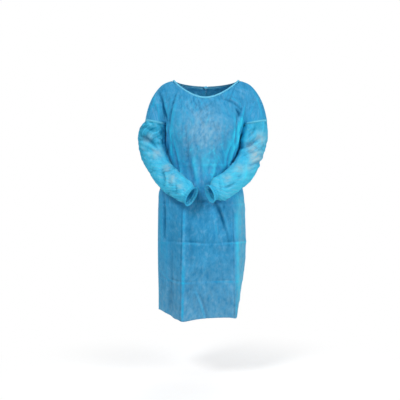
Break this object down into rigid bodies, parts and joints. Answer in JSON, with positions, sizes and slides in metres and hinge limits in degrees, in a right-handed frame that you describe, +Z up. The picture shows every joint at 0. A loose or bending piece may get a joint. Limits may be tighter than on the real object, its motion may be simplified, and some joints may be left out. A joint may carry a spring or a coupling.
{
  "type": "isolation gown",
  "caption": "Long-sleeved nonwoven isolation gown, hollow as worn with forearms together, open at the neck, cuffs, hem and back, tied behind.",
  "frame": {"origin": "where the wearer holds the gown up: midway between the tops of the shoulders, on the shoulder line's own plane", "axes": "+Z up, towards the neck; the wearer faces -Y; +X towards the wearer's left arm"},
  "size_m": [0.6083, 0.4077, 1.1034],
  "materials": {
    "nonwoven": "crinkled matte spunbond nonwoven, mid blue, slightly translucent",
    "sleeve_nonwoven": "the same nonwoven in one layer, paler where light comes through",
    "cuff_elastic": "nonwoven gathered on a narrow elastic",
    "binding": "folded nonwoven binding, light blue",
    "tie_nonwoven": "flat nonwoven strip, light blue"
  },
  "bodies": {
    "root": {"front": "nonwoven", "back_left": "nonwoven", "back_right": "nonwoven", "sleeve_left": "sleeve_nonwoven", "sleeve_right": "sleeve_nonwoven", "cuff_left": "cuff_elastic", "cuff_right": "cuff_elastic", "neck_binding": "binding", "neck_knot": "binding", "neck_end_left": "binding", "neck_end_right": "binding", "waist_tie_left": "tie_nonwoven", "waist_tie_right": "tie_nonwoven", "waist_knot": "tie_nonwoven", "waist_end_left": "tie_nonwoven", "waist_end_right": "tie_nonwoven"}
  },
  "joints": []
}
